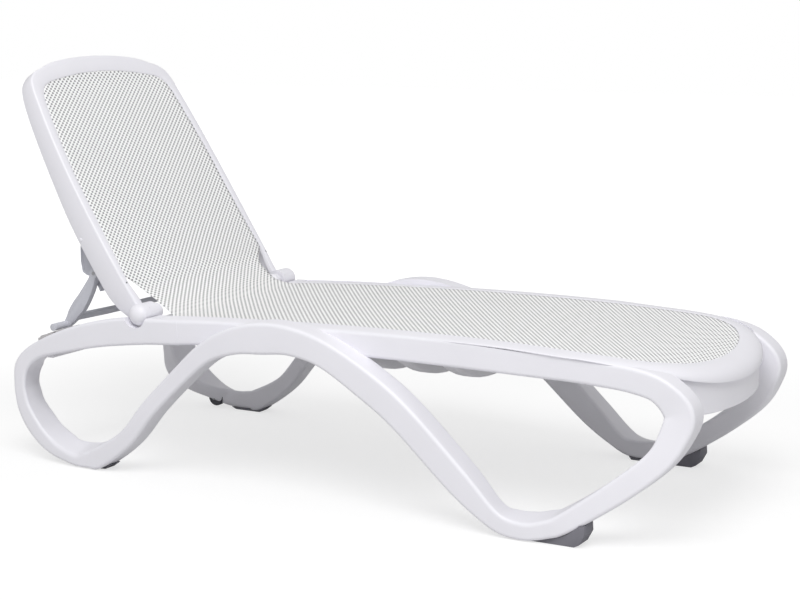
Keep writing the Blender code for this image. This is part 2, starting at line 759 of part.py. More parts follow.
def hinge_lug(name, side):
    """The plate on the inside of the rail that holds the pivot pin, with a domed end."""
    outer = RAIL_INNER - TOUCH
    start = (HINGE.x, side * LUG_INNER, HINGE.z - LUG_DROP - LUG_HEIGHT)
    end = (HINGE.x + LUG_END, side * outer, HINGE.z - LUG_DROP)
    low = [min(a, b) for a, b in zip(start, end)]
    high = [max(a, b) for a, b in zip(start, end)]
    piece = part(name, box(name, low, high), RESIN)
    eye = [(0, LUG_DOME), (LUG_RADIUS * 0.5, LUG_DOME * 0.86), (LUG_RADIUS * 0.8, LUG_DOME * 0.5),
           (LUG_RADIUS, 0), (LUG_RADIUS, LUG_INNER - outer), (0, LUG_INNER - outer)]
    centre = HINGE + Vector((0, side * LUG_INNER, 0))
    join(piece, turned(helper(f"{name}_eye", profile_line("eye", eye)), centre, (0, -side, 0), 28))
    radius = PIN_RADIUS + BORE_CLEARANCE
    bore = hinge_axis_rod("bore", radius, side, PIN_START - TOUCH, outer + radius)
    cut(piece, helper(f"{name}_bore", bore))
    return piece


def pivot_pin(name, side):
    return part(name, hinge_axis_rod(name, PIN_RADIUS, side, PIN_START, PIN_END, 24), STEEL)


def hub_cap(name, side):
    """The domed cap on the outside of the back's hub."""
    base = BACK_FOOT_OUTER + TOUCH
    depth = CAP_REACH - base
    radius = HUB_RADIUS
    straight = 0.42 * depth
    crown = depth - straight
    profile = [(0, depth)]
    for step in range(1, 6):
        turn = math.pi / 2 * step / 6
        profile.append((radius * math.sin(turn), straight + crown * math.cos(turn)))
    profile += [(radius, straight), (radius, 0), (0, 0)]
    centre = HINGE + Vector((0, side * base, 0))
    piece = turned(part(name, profile_line(name, profile), RESIN), centre, (0, side, 0), 28)
    bore = hinge_axis_rod("bore", PIN_RADIUS + BORE_CLEARANCE, side, base - HUB_RADIUS, PIN_END + 3 * TOUCH)
    cut(piece, helper(f"{name}_bore", bore))
    return piece


def bow(distance):
    """How far the middle of the back is set behind the straight line from hub to top."""
    share = min(max(distance / BACK_LENGTH, 0), 1)
    return BACK_BOW * 4 * share * (1 - share)


def on_face(distance, depth, y):
    return on_back(distance, FACE_SETBACK + bow(distance) + depth, y)


def back_stations(steps):
    """Smoothed stations of the half outline, in metres."""
    stretch = BACK_LENGTH / DRAWN_BACK
    widen = BACK_HALF / DRAWN_BACK_HALF
    deepen = SKIRT_DEPTH / DRAWN_SKIRT
    half = []
    for so, yo, si, yi, depth in smooth_line(BACK_OUTLINE, steps, 4):
        half.append((so * MM * stretch, yo * MM * widen, si * MM * stretch, yi * MM * widen,
                     depth * MM * deepen))
    return half


def back_section(so, yo, si, yi, depth, side):
    """The L-shaped channel: face plate with a round outer edge, and the skirt behind it."""
    inner = Vector((si, side * yi))
    outer = Vector((so, side * yo))
    out = (outer - inner).normalized()
    width = (outer - inner).length
    points = [(0, 0)]
    for step in range(4):
        turn = math.pi / 2 * step / 3
        points.append((width - BACK_EDGE * (1 - math.sin(turn)), BACK_EDGE * (1 - math.cos(turn))))
    points += [(width, depth - SKIRT_EDGE), (width - SKIRT_EDGE, depth), (width - SKIRT_WALL, depth),
               (width - SKIRT_WALL, FACE_THICK), (0, FACE_THICK)]
    ring = []
    for a, t in points:
        place = inner + out * a
        ring.append(on_face(place.x, t, place.y))
    return ring


def back_frame():
    half = back_stations(2)
    right = [back_section(*s, -1) for s in half]
    left = [back_section(*s, 1) for s in half]
    piece = part("back_frame", loft("back_frame", right + left[-2::-1]), RESIN)
    for word, side in SIDES.items():
        hub = hinge_axis_rod("hub", HUB_RADIUS, side, HUB_INNER, BACK_FOOT_OUTER, 36)
        join(piece, helper(f"hub_{word}", hub))
        bore = hinge_axis_rod("bore", PIN_RADIUS + BORE_CLEARANCE, side, HUB_INNER - HUB_RADIUS,
                              BACK_FOOT_OUTER + HUB_RADIUS)
        cut(piece, helper(f"hub_bore_{word}", bore))
    return piece


def sheet_rows(rows, thick, columns=8):
    """A thin closed sheet through rows of (centre line point, normal, half width, sag)."""
    sections = []
    for middle, normal, half, sag in rows:
        top = []
        for i in range(columns + 1):
            share = 2 * i / columns - 1
            drop = sag * (1 - share * share)
            top.append(middle + Vector((0, share * half, 0)) - normal * drop)
        bottom = [p - normal * thick for p in reversed(top)]
        sections.append(top + bottom)
    return sections


def seat_sling():
    rows = []
    upward = Vector((0, 0, 1))
    start = along(SEAT_START) + TOUCH
    straight = 8
    for i in range(straight):
        x = start + (along(SLING_CORNER) - start) * i / straight
        rows.append((Vector((x, 0, seat_top(x))), upward, SLING_HALF - TOUCH, SLING_SAG * min(1, i / 2)))
    for degrees in reversed(END_TURNS):
        turn = math.radians(max(degrees, 2))
        x, y = seat_outline(turn, SLING_HALF - TOUCH, SLING_CORNER, SLING_TIP - TOUCH)
        rows.append((Vector((x, 0, seat_top(x))), upward, y, SLING_SAG * (y / SLING_HALF) ** 2))
    return part("seat_sling", loft("seat_sling", sheet_rows(rows, SLING_THICK)), SLING)


def inset(outline, distance):
    """A half outline of (along, sideways) points moved inward, square to itself."""
    moved = []
    for i, (a, b) in enumerate(outline):
        before, after = outline[max(i - 1, 0)], outline[min(i + 1, len(outline) - 1)]
        run = Vector((after[0] - before[0], after[1] - before[1])).normalized()
        moved.append((a + run.y * distance, b - run.x * distance))
    return moved


def back_sling_row(distance, half):
    return on_face(distance, SLING_RECESS, 0), FACE_NORMAL, half


def back_sling():
    outline = inset([(s[2], s[3]) for s in back_stations(2)], 1.5 * TOUCH)
    outline = [(a, b) for a, b in outline if a > BACK_SLING_START + SLING_THICK]
    outline.insert(0, (BACK_SLING_START, outline[0][1]))
    outline.pop()
    rows = []
    for distance, half in outline:
        rise = min(1, (distance - BACK_SLING_START) / BACK_SLING_START)
        sag = BACK_SLING_SAG * (half / BACK_HALF) ** 2 * rise
        rows.append((*back_sling_row(distance, half), sag))
    return part("back_sling", loft("back_sling", sheet_rows(rows, SLING_THICK)), SLING)


def hinge_sling():
    """The free stretch of cloth between the back and the seat, drawn in at the hinge."""
    start, _, start_half = back_sling_row(BACK_SLING_START, BACK_FOOT_INNER)
    end_x = along(SEAT_START)
    start -= ALONG_BACK * TOUCH
    points = [(start.x, start.z, start_half)]
    for a, b, drawn_in in HINGE_CLOTH:
        points.append((HINGE.x + a * MM, HINGE.z + b * MM, SLING_HALF - drawn_in * MM))
    points.append((end_x - 2 * TOUCH, seat_top(end_x), SLING_HALF - HINGE_CLOTH_INSET))
    line = smooth_line(points, 4)
    rows = []
    for i, (x, z, half) in enumerate(line):
        before, after = line[max(i - 1, 0)], line[min(i + 1, len(line) - 1)]
        run = Vector((after[0] - before[0], 0, after[1] - before[1])).normalized()
        normal = Vector((-run.z, 0, run.x))
        rows.append((Vector((x, 0, z)), normal, half, 0.0))
    return part("hinge_sling", loft("hinge_sling", sheet_rows(rows, SLING_THICK)), SLING)


def back_plate(name, outline, low, high):
    """A flat outline of (distance along the back, depth behind the hinge plane), carried sideways."""
    return loft(name, [[on_back(d, t, y) for d, t in outline] for y in (low, high)])


def back_crossbar():
    """The bar across the back of the frame, bowed to the rear to clear the sling."""
    reach = BACK_HALF - SKIRT_WALL - TOUCH
    sections = []
    count = 14
    middle = CROSSBAR_ALONG
    front = FACE_SETBACK + bow(middle) + CROSSBAR_DEPTH
    for i in range(count + 1):
        share = 2 * i / count - 1
        behind = front + CROSSBAR_THICK / 2 + CROSSBAR_SAG * (1 - share * share) ** 2
        ring = corner_ring(CROSSBAR_WIDTH / 2, CROSSBAR_THICK / 2, MEMBER_EDGE, 1)
        sections.append([on_back(middle + a, behind + b, share * reach) for a, b in ring])
    return part("back_crossbar", loft("back_crossbar", sections), RESIN)


def pivot_rod(name, radius, low, high, segments=20):
    """A round bar on the prop's pivot axis."""
    return rod(name, radius, PROP_PIVOT + Vector((0, low, 0)), PROP_PIVOT + Vector((0, high, 0)), segments)


def prop_bracket(name, side):
    """The plate behind the crossbar that carries the prop's pivot, with a short ear below it."""
    low_y = side * BRACKET_INNER
    high_y = side * (BRACKET_INNER + BRACKET_THICK)
    share = BRACKET_INNER / (BACK_HALF - SKIRT_WALL - TOUCH)
    rear = FACE_SETBACK + bow(CROSSBAR_ALONG) + CROSSBAR_DEPTH + CROSSBAR_THICK
    seat = rear + CROSSBAR_SAG * (1 - share * share) ** 2 + TOUCH
    top = CROSSBAR_ALONG + CROSSBAR_WIDTH / 2 - MEMBER_EDGE
    bottom = CROSSBAR_ALONG - CROSSBAR_WIDTH / 2 + MEMBER_EDGE
    edge = [(PROP_PIVOT_ALONG + a * MM, PROP_PIVOT_BEHIND + b * MM) for a, b in BRACKET_EDGE]
    outline = [(top, seat)] + edge + [(bottom, seat)]
    piece = part(name, back_plate(name, outline, low_y, high_y), PROP_RESIN)
    join(piece, helper(f"{name}_eye", pivot_rod("eye", 1.1 * PROP_EYE, low_y, high_y, 28)))
    radius = PROP_PIN_RADIUS + BORE_CLEARANCE
    bore = pivot_rod("bore", radius, low_y - side * PROP_EYE, high_y + side * PROP_EYE)
    cut(piece, helper(f"{name}_bore", bore))
    return piece


def prop_plate(name, outline, low, high):
    """A flat outline in the prop's own directions: along it from the pivot, and square to it."""
    across = Vector((-PROP_RUN.z, 0, PROP_RUN.x))
    ends = []
    for y in (low, high):
        ends.append([PROP_PIVOT + PROP_RUN * a + across * b + Vector((0, y, 0)) for a, b in outline])
    return loft(name, ends)


def prop_arm(name, side):
    """One arm of the prop: an eye, a leaf-shaped plate, and the foot's peg."""
    low = BRACKET_INNER + BRACKET_THICK + 2 * TOUCH
    high = low + ARM_THICK
    stretch = PROP_LENGTH / PROP_OUTLINE[-1][0]
    forward = [(a * stretch, front * MM) for a, front, _ in PROP_OUTLINE]
    rearward = [(a * stretch, -rear * MM) for a, _, rear in PROP_OUTLINE]
    outline = forward + rearward[::-1]
    piece = part(name, prop_plate(name, outline, side * low, side * high), PROP_RESIN)
    join(piece, helper(f"{name}_eye", pivot_rod("eye", PROP_EYE, side * low, side * high, 28)))
    peg = rod("peg", PEG_RADIUS, PROP_FOOT + Vector((0, side * low, 0)),
              PROP_FOOT + Vector((0, side * (RACK_INNER + RACK_WIDTH + PEG_PROUD), 0)), 24)
    join(piece, helper(f"{name}_peg", peg))
    radius = PROP_PIN_RADIUS + BORE_CLEARANCE
    bore = pivot_rod("bore", radius, side * (low - PROP_EYE), side * (high + PROP_EYE))
    cut(piece, helper(f"{name}_bore", bore))
    return piece


def prop_crossbar():
    """The strip that ties the two arms together just above their feet."""
    reach = BRACKET_INNER + BRACKET_THICK + TOUCH
    across = Vector((-PROP_RUN.z, 0, PROP_RUN.x))
    sections = []
    count = 12
    for i in range(count + 1):
        share = 2 * i / count - 1
        sag = PROP_BAR_SAG * (1 - share * share)
        centre = PROP_PIVOT + PROP_RUN * (PROP_LENGTH - PROP_BAR_UP + sag) + Vector((0, share * reach, 0))
        ring = corner_ring(PROP_BAR_HEIGHT / 2, PROP_BAR_THICK / 2, 2 * MM, 1)
        sections.append([centre + PROP_RUN * a + across * b for a, b in ring])
    return part("prop_crossbar", loft("prop_crossbar", sections), PROP_RESIN)


def prop_pin(name, side):
    low = side * BRACKET_INNER
    high = side * (BRACKET_INNER + BRACKET_THICK + ARM_THICK + 3 * TOUCH)
    return part(name, pivot_rod(name, PROP_PIN_RADIUS, low, high), STEEL)


def screw(name, centre, direction, radius=SCREW_RADIUS):
    """A low domed head that stands TOUCH off its seat."""
    profile = [
        (0, SCREW_HEAD), (radius * 0.7, SCREW_HEAD * 0.8), (radius, SCREW_HEAD * 0.2), (radius, 0), (0, 0)]
    direction = Vector(direction).normalized()
    piece = part(name, profile_line(name, profile), STEEL)
    return turned(piece, Vector(centre) + direction * TOUCH, direction, 10)


frame_space = {
    word: helper(f"frame_space_{word}", ribbon("frame_space", LOOP, side, 3, TOUCH))
    for word, side in SIDES.items()}
rim_space = rim_cutter()

for word, side in SIDES.items():
    side_frame(f"side_frame_{word}", side, rim_space)
    prop_rack(f"prop_rack_{word}", side)
    wheel(f"wheel_{word}", side)
    part(f"wheel_axle_{word}", axle_rod(f"wheel_axle_{word}", AXLE_RADIUS, side), STEEL)
    leg_space = frame_space[word]
    foot_pad(f"front_pad_{word}", side, FRONT_PAD, FRONT_PAD_INNER, FRONT_PAD_WIDTH, leg_space)
    foot_pad(f"rear_pad_{word}", side, REAR_PAD, REAR_PAD_INNER, REAR_PAD_WIDTH, leg_space)
    hinge_lug(f"hinge_lug_{word}", side)
    pivot_pin(f"pivot_pin_{word}", side)
    hub_cap(f"hub_cap_{word}", side)
    prop_bracket(f"prop_bracket_{word}", side)
    prop_arm(f"prop_arm_{word}", side)
    prop_pin(f"prop_pin_{word}", side)

for word, at, end_height, sag, width in MEMBERS:
    cross_member(f"cross_member_{word}", at, end_height, sag, width, frame_space.values())

seat_rim()
foot_apron(frame_space.values())
seat_sling()
hinge_sling()
for word, side in SIDES.items():
    for place, at in LUG_SCREWS.items():
        centre = (HINGE.x + at, side * LUG_INNER, HINGE.z - LUG_DROP - LUG_HEIGHT / 2)
        screw(f"lug_screw_{word}_{place}", centre, (0, -side, 0))
    wall = on_face(SKIRT_SCREW_ALONG, SKIRT_SCREW_DEPTH, side * BACK_HALF)
    screw(f"skirt_screw_{word}", wall, (0, side, 0))
    edge = on_face(FACE_PEG_ALONG, 0, side * (BACK_HALF - FACE_PEG_INSET))
    screw(f"sling_peg_{word}", edge, FACE_NORMAL, PEG_HEAD_RADIUS)

back_frame()
back_crossbar()
back_sling()
prop_crossbar()
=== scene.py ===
"""The looks of a sun lounger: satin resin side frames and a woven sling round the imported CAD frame.

Metres, +Z up, the foot end at +X, the near side at -Y. Each section makes one kind of piece.
"""
import json
import math

import bmesh
import bpy
from mathutils import Matrix, Vector


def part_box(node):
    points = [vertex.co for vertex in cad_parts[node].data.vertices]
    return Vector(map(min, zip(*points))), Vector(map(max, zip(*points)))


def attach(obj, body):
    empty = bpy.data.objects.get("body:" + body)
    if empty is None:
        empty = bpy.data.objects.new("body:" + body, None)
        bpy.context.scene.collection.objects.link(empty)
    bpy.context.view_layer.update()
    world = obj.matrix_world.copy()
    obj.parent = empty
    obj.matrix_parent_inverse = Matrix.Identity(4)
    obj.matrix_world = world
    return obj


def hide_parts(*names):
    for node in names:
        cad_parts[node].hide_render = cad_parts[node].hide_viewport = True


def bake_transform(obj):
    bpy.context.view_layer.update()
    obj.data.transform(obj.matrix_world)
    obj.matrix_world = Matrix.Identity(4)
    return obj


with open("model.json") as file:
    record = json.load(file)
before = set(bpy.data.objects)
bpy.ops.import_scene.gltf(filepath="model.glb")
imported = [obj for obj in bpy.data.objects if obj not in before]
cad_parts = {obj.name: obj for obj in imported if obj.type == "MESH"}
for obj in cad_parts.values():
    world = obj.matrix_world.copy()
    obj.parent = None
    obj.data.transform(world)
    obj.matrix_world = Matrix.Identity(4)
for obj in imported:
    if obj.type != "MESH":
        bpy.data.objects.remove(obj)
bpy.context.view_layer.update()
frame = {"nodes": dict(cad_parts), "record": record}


# Camera: a long lens from the near side of the foot end, a little above the seat.
# Its place and turn were solved from the photograph with the two side frames as a pair.
AZIMUTH, ELEVATION, ROLL = 29.296, 9.742, -0.3
LENS = 77.37

camera_data = bpy.data.cameras.new("camera")
camera_data.lens = LENS
camera_data.sensor_width = 36
camera_data.clip_start = 0.05
camera = bpy.data.objects.new("camera", camera_data)
bpy.context.scene.collection.objects.link(camera)
camera.location = (1.8056, -3.1746, 0.9958)
away = Vector((math.sin(math.radians(AZIMUTH)) * math.cos(math.radians(ELEVATION)),
               -math.cos(math.radians(AZIMUTH)) * math.cos(math.radians(ELEVATION)),
               math.sin(math.radians(ELEVATION))))
camera.rotation_mode = "QUATERNION"
camera.rotation_quaternion = (-away).to_track_quat("-Z", "Y") @ Matrix.Rotation(
    math.radians(ROLL), 3, "Z").to_quaternion()
bpy.context.scene.camera = camera
bpy.context.scene.view_settings.view_transform = "Standard"


# Studio: a large soft light over the near side, a weak white sky, and a white floor that
# shows only a trace of the lounger's shadow, as a cut-out on a white page does.
def srgb(code):
    """A hex colour as the linear values that a shader takes."""
    values = [int(code[i:i + 2], 16) / 255 for i in (1, 3, 5)]
    return tuple(v / 12.92 if v <= 0.04045 else ((v + 0.055) / 1.055) ** 2.4 for v in values) + (1.0,)


def add(tree, kind, links=None, **settings):
    """Adds a shader node with its settings, its inputs linked from other nodes' outputs."""
    made = tree.nodes.new("ShaderNode" + kind)
    for name, value in settings.items():
        if name in made.bl_rna.properties:
            setattr(made, name, value)
        else:
            made.inputs[name.replace("_", " ")].default_value = value
    for name, source in (links or {}).items():
        tree.links.new(source, made.inputs[name])
    return made


world = bpy.data.worlds.new("white sky")
bpy.context.scene.world = world
world.use_nodes = True
sky = world.node_tree
sky.nodes.clear()
path = add(sky, "LightPath")
seen = add(sky, "Math", {0: path.outputs["Is Camera Ray"], 1: path.outputs["Is Transmission Ray"]},
           operation="MAXIMUM")
strength = add(sky, "MapRange", {"Value": seen.outputs[0]}, **{"To Min": 0.50, "To Max": 1.0})
sky_light = add(sky, "Background", {"Strength": strength.outputs[0]}, Color=srgb("#FFFFFF"))
add(sky, "OutputWorld", {"Surface": sky_light.outputs[0]})


def soft_light(name, place, target, size, power):
    """A round soft box at a place, turned to its target."""
    data = bpy.data.lights.new(name, "AREA")
    data.shape = "DISK"
    data.size = size
    data.energy = power
    lamp = bpy.data.objects.new(name, data)
    bpy.context.scene.collection.objects.link(lamp)
    lamp.location = place
    lamp.rotation_mode = "QUATERNION"
    lamp.rotation_quaternion = (Vector(place) - Vector(target)).to_track_quat("Z", "Y")


soft_light("key", place=(1.2, -2.6, 4.0), target=(0, 0, 0.3), size=3.0, power=130)
soft_light("foot_fill", place=(3.6, -0.2, 2.0), target=(0.3, 0, 0.3), size=2.0, power=4)

FLOOR_SIZE, FLOOR_DROP = 30, 0.0005
floor_bm = bmesh.new()
bmesh.ops.create_grid(floor_bm, x_segments=1, y_segments=1, size=FLOOR_SIZE / 2)
floor_mesh = bpy.data.meshes.new("floor")
floor_bm.to_mesh(floor_mesh)
floor_bm.free()
floor = bpy.data.objects.new("floor", floor_mesh)
bpy.context.scene.collection.objects.link(floor)
floor.location.z = -FLOOR_DROP

# Paper that is lit a little, so it shows the shadow, and glows the rest of the way to white
floor_material = bpy.data.materials.new("white paper sweep")
floor_material.use_nodes = True
paper = floor_material.node_tree
paper.nodes.clear()
lit = add(paper, "BsdfDiffuse", Color=(0.38, 0.38, 0.38, 1.0))
spot = add(paper, "TexCoord")
distance = add(paper, "VectorMath", {0: spot.outputs["Object"]}, operation="LENGTH")
level = add(paper, "MapRange", {"Value": distance.outputs["Value"]}, interpolation_type="SMOOTHSTEP",
            **{"From Min": 0.9, "From Max": 3.2, "To Min": 0.66, "To Max": 1.0})
glow = add(paper, "Emission", {"Strength": level.outputs[0]}, Color=srgb("#FFFFFF"))
shown = add(paper, "AddShader", {0: lit.outputs[0], 1: glow.outputs[0]})
bounce = add(paper, "BsdfDiffuse", Color=(0.72, 0.72, 0.72, 1.0))
ray = add(paper, "LightPath")
chosen = add(paper, "MixShader",
             {0: ray.outputs["Is Camera Ray"], 1: bounce.outputs[0], 2: shown.outputs[0]})
add(paper, "OutputMaterial", {"Surface": chosen.outputs[0]})
floor_mesh.materials.append(floor_material)


# Side frames: one moulding each of satin white polypropylene, with the seat rail, the arch
# between the legs and a loop at either end. The hinge, rim and wheel are let into it.
# Each row has, in mm from the hinge axis and the floor: along, up, thickness, outer face and
# inner face, and where the inner side stands off, its shift along and up and extra thickness.
LOOP = [
    (943, 329.5, 57, 292, 244), (1043, 322, 50, 290, 244), (1123, 315.5, 51, 289, 240),
    (1178, 300, 52, 289, 234), (1214, 262, 62, 287, 230), (1208, 222, 58, 293, 236),
    (1179, 170, 50, 305, 252), (1108, 108, 47, 325, 272), (1016, 43, 40, 345, 289, 0, 3, 6),
    (978, 26, 36, 350.5, 292, 0, 6.5, 10), (940, 18, 35, 355, 295, 0, 7.5, 10),
    (898, 22, 38, 355, 295, 0, 3.5, 5), (861, 41.5, 43, 355, 295, 0, -2.5, -5), (795, 96, 57, 353, 292),
    (673, 206.5, 60, 352, 290), (588, 263, 61, 348, 287), (493, 313.5, 57, 346, 285),
    (413, 333, 61, 345, 285), (343, 332, 67, 345, 285), (273, 320, 57, 345, 285),
    (203, 289, 45, 344, 284), (133, 230.5, 40, 342, 283), (53, 154, 39, 341, 281),
    (-12, 80, 40, 340, 282), (-90, 27.5, 46, 339, 282, 0, 4, 8), (-118, 19, 37, 338.5, 282, 0, 9, 11),
    (-150, 13.5, 25.5, 338, 282, 0, 14, 21.5), (-184, 20, 26, 336, 282, 2.5, 10, 20.5),
    (-222, 33, 33, 333, 270, 14, 4.5, 4.5), (-257.5, 57, 38, 330, 255, -4, -2.5, 0),
    (-284.5, 84, 39, 327, 246, -20.5, -4, 11), (-303, 111, 37, 325, 245, -22.5, -5.5, 9),
    (-312, 133, 35, 323.5, 245, -20, 0, 1), (-317.5, 167, 33, 322, 245, -17.5, 0, -3),
    (-311, 209.5, 38, 320, 252, -7, -0.5, 2), (-270, 246, 39, 317, 282, 4, -3.5, -3),
    (-189, 274, 53, 314, 282), (-107, 295, 59, 311, 282), (-30, 307.5, 62, 309, 282),
    (11, 311.5, 60.5, 307.8, 282), (32, 312.5, 57.5, 307, 244), (110, 317, 56, 305, 244),
]
# Where the seat rail runs through between the loops, in the same order
RAIL = [
    (92, 316, 56, 305.5, 244), (243, 325, 53, 300, 244), (543, 332, 53, 298, 244),
    (743, 332, 56, 296, 244), (975, 327, 55.5, 291.5, 244),
]
SIDES = {"right": -1, "left": 1}
MM = 0.001
FRAME_EDGE, FRAME_CROWN = 9 * MM, -1.2 * MM
FRAME_STEPS = 7
RAIL_SEAM = 0.15 * MM

pin_low, pin_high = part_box("pivot_pin_right")
HINGE = Vector(((pin_low.x + pin_high.x) / 2, 0, (pin_low.z + pin_high.z) / 2))


def curve_value(before, start, end, after, t):
    """One value of a Catmull-Rom curve between start and end."""
    return 0.5 * (2 * start + (end - before) * t + (2 * before - 5 * start + 4 * end - after) * t * t
                  + (3 * start - before - 3 * end + after) * t ** 3)


def smooth_line(points, steps, level_from=2):
    """A Catmull-Rom curve through the points; values from level_from on keep between neighbours."""
    ends = [points[0]] + list(points) + [points[-1]]
    line = []
    for before, start, end, after in zip(ends, ends[1:], ends[2:], ends[3:]):
        for step in range(steps):
            values = [curve_value(*four, step / steps) for four in zip(before, start, end, after)]
            for i in range(level_from, len(values)):
                values[i] = min(max(values[i], min(start[i], end[i])), max(start[i], end[i]))
            line.append(tuple(values))
    line.append(tuple(points[-1]))
    return line


def round_ring(half_a, half_b, radius, crown, segments=6):
    """Offsets round a rectangle with round corners and faces that swell by the crown."""
    ring = []
    for quarter, (sign_a, sign_b) in enumerate(((1, 1), (-1, 1), (-1, -1), (1, -1))):
        for step in range(segments + 1):
            angle = math.pi / 2 * (quarter + step / segments)
            a = sign_a * (half_a - radius) + radius * math.cos(angle)
            b = sign_b * (half_b - radius) + radius * math.sin(angle)
            ring.append((a, b))
        a, b = ((0, sign_b * half_b) if quarter % 2 == 0 else (sign_a * half_a, 0))
        ring.append((a, b))
    return [(a * (1 + crown / half_a * (1 - (b / half_b) ** 2)),
             b * (1 + crown / half_b * (1 - (a / half_a) ** 2))) for a, b in ring]


def sweep(rings):
    """A closed body: a first ring of points, extruded to each next ring and capped."""
    bm = bmesh.new()
    current = [bm.verts.new(point) for point in rings[0]]
    edges = [bm.edges.new((a, b)) for a, b in zip(current, current[1:] + current[:1])]
    first_edges = edges
    for ring in rings[1:]:
        grown = bmesh.ops.extrude_edge_only(bm, edges=edges)["geom"]
        fresh = {item for item in grown if isinstance(item, bmesh.types.BMVert)}
        following = [next(e.other_vert(v) for e in v.link_edges if e.other_vert(v) in fresh)
                     for v in current]
        for vert, point in zip(following, ring):
            vert.co = point
        current = following
        edges = [bm.edges.get((a, b)) for a, b in zip(current, current[1:] + current[:1])]
    bmesh.ops.contextual_create(bm, geom=first_edges)
    bmesh.ops.contextual_create(bm, geom=edges)
    bmesh.ops.recalc_face_normals(bm, faces=bm.faces)
    return bm


def finish_piece(name, bm, material, body, nodes, sharp=35):
    """Makes a piece that stands for the nodes, smooth apart from its sharp edges, on its body."""
    mesh = bpy.data.meshes.new(name)
    bm.to_mesh(mesh)
    bm.free()
    mesh.materials.append(material)
    mesh.shade_smooth()
    mesh.set_sharp_from_angle(angle=math.radians(sharp))
    piece = bpy.data.objects.new(name, mesh)
    bpy.context.scene.collection.objects.link(piece)
    if body:
        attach(piece, body)
    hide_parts(*nodes)
    return piece


def shaped(bm, cutters, union=()):
    """Joins and cuts a bmesh with others by exact Booleans and gives back the result."""
    def scratch(source):
        mesh = bpy.data.meshes.new("scratch")
        source.to_mesh(mesh)
        source.free()
        thing = bpy.data.objects.new("scratch", mesh)
        bpy.context.scene.collection.objects.link(thing)
        return thing

    base = scratch(bm)
    others = [(scratch(other), "UNION") for other in union]
    others += [(scratch(other), "DIFFERENCE") for other in cutters]
    for other, operation in others:
        boolean = base.modifiers.new("shape", "BOOLEAN")
        boolean.operation = operation
        boolean.solver = "EXACT"
        boolean.object = other
    result = bmesh.new()
    result.from_object(base, bpy.context.evaluated_depsgraph_get())
    for thing in [base] + [other for other, _ in others]:
        mesh = thing.data
        bpy.data.objects.remove(thing)
        bpy.data.meshes.remove(mesh)
    bmesh.ops.remove_doubles(result, verts=result.verts, dist=1e-6)
    return result


def bar(radius, start, end, segments=64):
    """A round bar from start to end."""
    bm = bmesh.new()
    run = Vector(end) - Vector(start)
    turn = run.to_track_quat("Z", "Y").to_matrix().to_4x4()
    place = Matrix.Translation((Vector(start) + Vector(end)) / 2) @ turn
    bmesh.ops.create_cone(bm, cap_ends=True, segments=segments, radius1=radius, radius2=radius,
                          depth=run.length, matrix=place)
    return bm


def moulding(stations, side, grow=0.0):
    """A round-edged bar through the stations, on one side of the lounger."""
    line = smooth_line([(station + (0, 0, 0))[:8] for station in stations], FRAME_STEPS)
    middles = [Vector((HINGE.x + s[0] * MM, 0, s[1] * MM)) for s in line]
    rings = []
    for i, (_, _, thick, outer, inner, lean_along, lean_up, more) in enumerate(line):
        run = (middles[min(i + 1, len(line) - 1)] - middles[max(i - 1, 0)]).normalized()
        normal = Vector((run.z, 0, -run.x))
        half_y = (outer - inner) * MM / 2 + grow
        middle_y = side * (outer + inner) * MM / 2
        half = thick * MM / 2 + grow
        lean = Vector((lean_along * MM, 0, lean_up * MM))
        ring = []
        for a, b in round_ring(half, half_y, FRAME_EDGE, FRAME_CROWN):
            share = 0.5 - b / half_y / 2
            swell = 1 + share * more * MM / 2 / half
            sideways = Vector((0, middle_y + side * b, 0))
            ring.append(middles[i] + lean * share + normal * a * swell + sideways)
        rings.append(ring)
    return sweep(rings)


def mirrored(bm):
    """A copy of a bmesh on the other side of the plane y = 0."""
    other = bm.copy()
    bmesh.ops.scale(other, vec=(1, -1, 1), verts=other.verts)
    bmesh.ops.reverse_faces(other, faces=other.faces)
    return other


def resin(name, code, speckle, roughness):
    """Satin moulded polypropylene: an even colour, a fine spark-eroded grain and soft gloss."""
    material = bpy.data.materials.new(name)
    material.use_nodes = True
    tree = material.node_tree
    shader = tree.nodes["Principled BSDF"]
    place = add(tree, "TexCoord")
    cloud = add(tree, "TexNoise", {"Vector": place.outputs["Object"]}, Scale=9.0, Detail=3.0)
    tint = add(tree, "MapRange", {"Value": cloud.outputs["Fac"]},
               **{"From Min": 0.3, "From Max": 0.7, "To Min": 1 - speckle, "To Max": 1.0})
    colour = add(tree, "Mix", {7: tint.outputs[0]}, data_type="RGBA", blend_type="MULTIPLY", Factor=1.0)
    colour.inputs[6].default_value = srgb(code)
    tree.links.new(colour.outputs[2], shader.inputs["Base Color"])
    # Grain of about 1.2 mm, drawn coarser than the real 0.3 mm so that it shows
    grain = add(tree, "TexNoise", {"Vector": place.outputs["Object"]}, Scale=850.0, Detail=2.0)
    rough = add(tree, "MapRange", {"Value": grain.outputs["Fac"]},
                **{"To Min": roughness - 0.06, "To Max": roughness + 0.06})
    tree.links.new(rough.outputs[0], shader.inputs["Roughness"])
    bump = add(tree, "Bump", {"Height": grain.outputs["Fac"]}, Strength=0.10, Distance=0.0003)
    tree.links.new(bump.outputs[0], shader.inputs["Normal"])
    shader.inputs["IOR"].default_value = 1.49
    return material


# The frames are a bright, faintly cool white, even in tone, with a satin sheen
white_resin = resin("satin white moulded polypropylene", "#F0EFF5", 0.02, 0.42)

